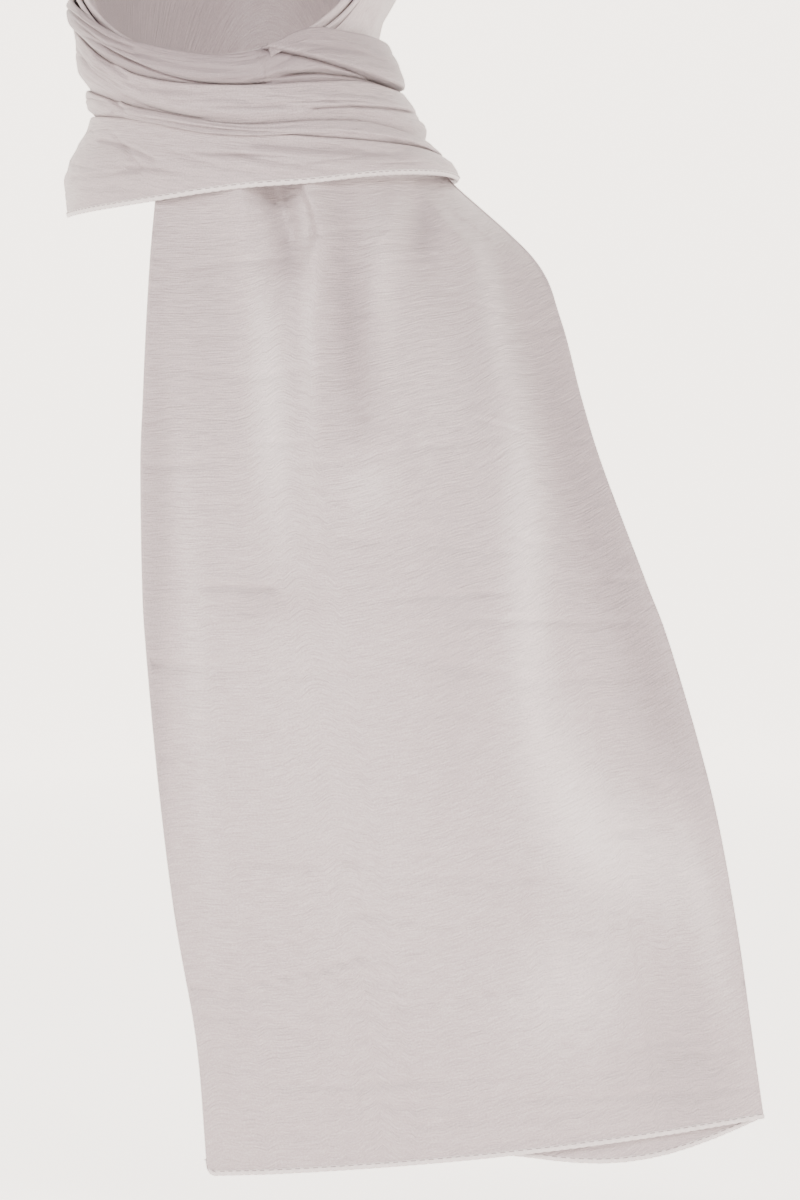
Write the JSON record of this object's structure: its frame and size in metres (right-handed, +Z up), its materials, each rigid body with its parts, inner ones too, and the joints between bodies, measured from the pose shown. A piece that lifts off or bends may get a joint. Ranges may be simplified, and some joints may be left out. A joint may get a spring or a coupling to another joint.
{
  "type": "wound head-and-neck shawl",
  "caption": "Crinkled satin shawl worn over the head and wound round the neck, with a face opening and one long folded end hanging in front.",
  "frame": {"origin": "inner crown of the cloth, where the top of the head holds it up", "axes": "+Z up, the wearer faces -Y, +X to the viewer's right in front"},
  "size_m": [0.3238, 0.2561, 0.7381],
  "materials": {
    "crinkle_satin": "crinkled satin, silvery lilac grey, soft sheen"
  },
  "bodies": {
    "root": {"inner_cover": "crinkle_satin", "outer_cover": "crinkle_satin", "chin_wrap": "crinkle_satin", "upper_wrap": "crinkle_satin", "middle_wrap": "crinkle_satin", "lower_wrap": "crinkle_satin", "hanging_end": "crinkle_satin"}
  },
  "joints": []
}
